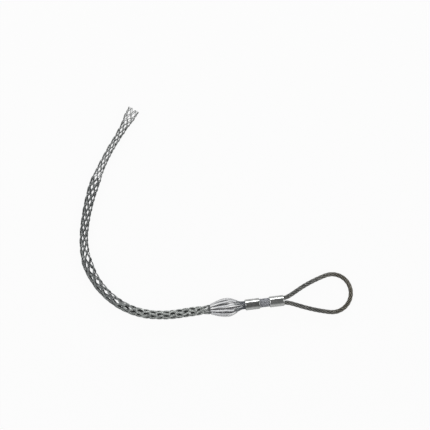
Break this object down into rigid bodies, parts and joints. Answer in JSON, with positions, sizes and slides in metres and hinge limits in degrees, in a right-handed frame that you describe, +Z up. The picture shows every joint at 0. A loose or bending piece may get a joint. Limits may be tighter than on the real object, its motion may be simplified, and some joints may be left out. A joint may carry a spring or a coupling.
{
  "type": "cable pulling grip",
  "caption": "Wire mesh cable pulling grip with a flexible wire-rope eye, pressed ferrules, sleeved strand legs and a tapering woven mesh tube, lying in a curl.",
  "frame": {"origin": "middle of the footprint, on the floor that the grip lies on", "axes": "+X along the shank towards the pulling eye, +Z up from the floor, +Y to the side that the mesh tail curls to"},
  "size_m": [0.4268, 0.3672, 0.03],
  "materials": {
    "eye_rope_wire": "dull galvanised wire rope",
    "ferrule_metal": "smooth, pressed and tumbled",
    "binding_wire": "fine galvanised strand",
    "leg_wire": "galvanised strand",
    "mesh_wire": "galvanised strand",
    "clear_plastic": "clear protective tube"
  },
  "bodies": {
    "root": {"eye_rope": "eye_rope_wire", "eye_ferrule": "ferrule_metal", "strand_binding": "binding_wire", "nose_ferrule": "ferrule_metal", "rope_end_core": "eye_rope_wire", "strand_leg_01": "leg_wire", "strand_leg_02": "leg_wire", "strand_leg_03": "leg_wire", "strand_leg_04": "leg_wire", "strand_leg_05": "leg_wire", "strand_leg_06": "leg_wire", "strand_leg_07": "leg_wire", "strand_leg_08": "leg_wire", "strand_leg_09": "leg_wire", "strand_leg_10": "leg_wire", "strand_leg_11": "leg_wire", "strand_leg_12": "leg_wire", "clear_sleeve_01": "clear_plastic", "clear_sleeve_02": "clear_plastic", "clear_sleeve_03": "clear_plastic", "clear_sleeve_04": "clear_plastic", "clear_sleeve_05": "clear_plastic", "clear_sleeve_06": "clear_plastic", "clear_sleeve_07": "clear_plastic", "clear_sleeve_08": "clear_plastic", "clear_sleeve_09": "clear_plastic", "clear_sleeve_10": "clear_plastic", "clear_sleeve_11": "clear_plastic", "clear_sleeve_12": "clear_plastic", "triple_weave_front": "mesh_wire", "double_weave_middle": "mesh_wire", "single_weave_tail": "mesh_wire"}
  },
  "joints": []
}
